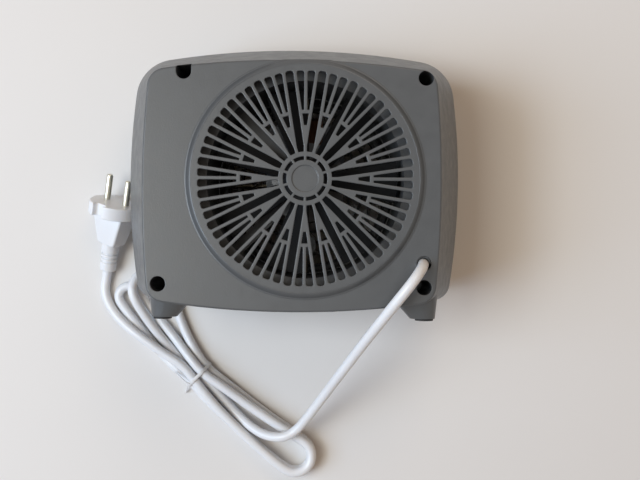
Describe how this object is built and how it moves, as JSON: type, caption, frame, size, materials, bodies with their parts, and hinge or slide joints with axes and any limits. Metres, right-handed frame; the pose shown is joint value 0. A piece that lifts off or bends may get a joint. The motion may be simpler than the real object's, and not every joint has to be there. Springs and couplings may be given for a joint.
{
  "type": "fan heater",
  "caption": "Compact fan heater lying on its front, with a round radial rear grille, stub feet and a lead folded into a tied hank with a two-pin plug.",
  "frame": {"origin": "on the surface that the heater lies on, below the middle of the heater's box, without its cord and plug", "axes": "+Z out of the heater's back, +Y towards its top, +X to the right as seen from the back"},
  "size_m": [0.2698, 0.313, 0.1338],
  "materials": {
    "shell_grey": "matt, fine grain",
    "grille_black": "matt",
    "rubber_black": "matt",
    "screw_steel": "satin",
    "inner_grey": "matt",
    "inner_cream": "satin",
    "lamination_steel": "satin",
    "coil_winding": "taped",
    "bracket_steel": "zinc plated",
    "bearing_bronze": "satin",
    "shaft_steel": "satin",
    "mica_board": "matt",
    "ribbon_alloy": "oxidised",
    "lamp_lens": "clear red",
    "fan_black": "satin",
    "knob_black": "satin",
    "wire_brown": "satin",
    "wire_blue": "satin",
    "cord_white": "satin",
    "tie_white": "satin",
    "pin_brass": "polished"
  },
  "bodies": {
    "heater": {"rear_shell": "shell_grey", "front_shell": "shell_grey", "outlet_grille": "grille_black", "foot_pad_rear_left": "rubber_black", "foot_pad_rear_right": "rubber_black", "foot_pad_front_left": "rubber_black", "foot_pad_front_right": "rubber_black", "case_screws": "screw_steel", "cord_clamp": "inner_grey", "clamp_screws": "screw_steel", "terminal_block": "inner_cream", "fan_duct": "inner_grey", "motor_stator": "lamination_steel", "motor_coil": "coil_winding", "motor_bracket_rear": "bracket_steel", "motor_bracket_front": "bracket_steel", "motor_bearing_rear": "bearing_bronze", "motor_bearing_front": "bearing_bronze", "motor_screws": "screw_steel", "heater_ring": "bracket_steel", "heater_board_level": "mica_board", "heater_board_upright": "mica_board", "heating_ribbon_inner": "ribbon_alloy", "heating_ribbon_middle": "ribbon_alloy", "heating_ribbon_outer": "ribbon_alloy", "thermal_cutout": "bracket_steel", "thermostat_body": "inner_grey", "selector_body": "inner_grey", "pilot_lamp": "lamp_lens", "wire_live": "wire_brown", "wire_neutral": "wire_blue", "wire_switched": "wire_brown", "cord_lead": "cord_white", "cord_hank": "cord_white", "cord_tail": "cord_white", "cord_tie": "tie_white", "plug_body": "cord_white", "plug_pins": "pin_brass"},
    "fan": {"fan_impeller": "fan_black", "motor_shaft": "shaft_steel", "motor_rotor": "lamination_steel"},
    "thermostat": {"thermostat_knob": "knob_black", "thermostat_shaft": "shaft_steel"},
    "selector": {"selector_knob": "knob_black", "selector_shaft": "shaft_steel"}
  },
  "joints": [
    {"name": "fan_spin", "type": "hinge", "parent": "heater", "child": "fan", "pos_m": [0.0086, -0.001, 0.07], "axis": [0, 0, 1], "continuous": true},
    {"name": "thermostat_turn", "type": "hinge", "parent": "heater", "child": "thermostat", "pos_m": [-0.081, 0.034, 0.01], "axis": [0, 0, -1], "range_deg": [0, 270]},
    {"name": "selector_turn", "type": "hinge", "parent": "heater", "child": "selector", "pos_m": [-0.081, -0.02, 0.01], "axis": [0, 0, -1], "range_deg": [0, 135]}
  ]
}
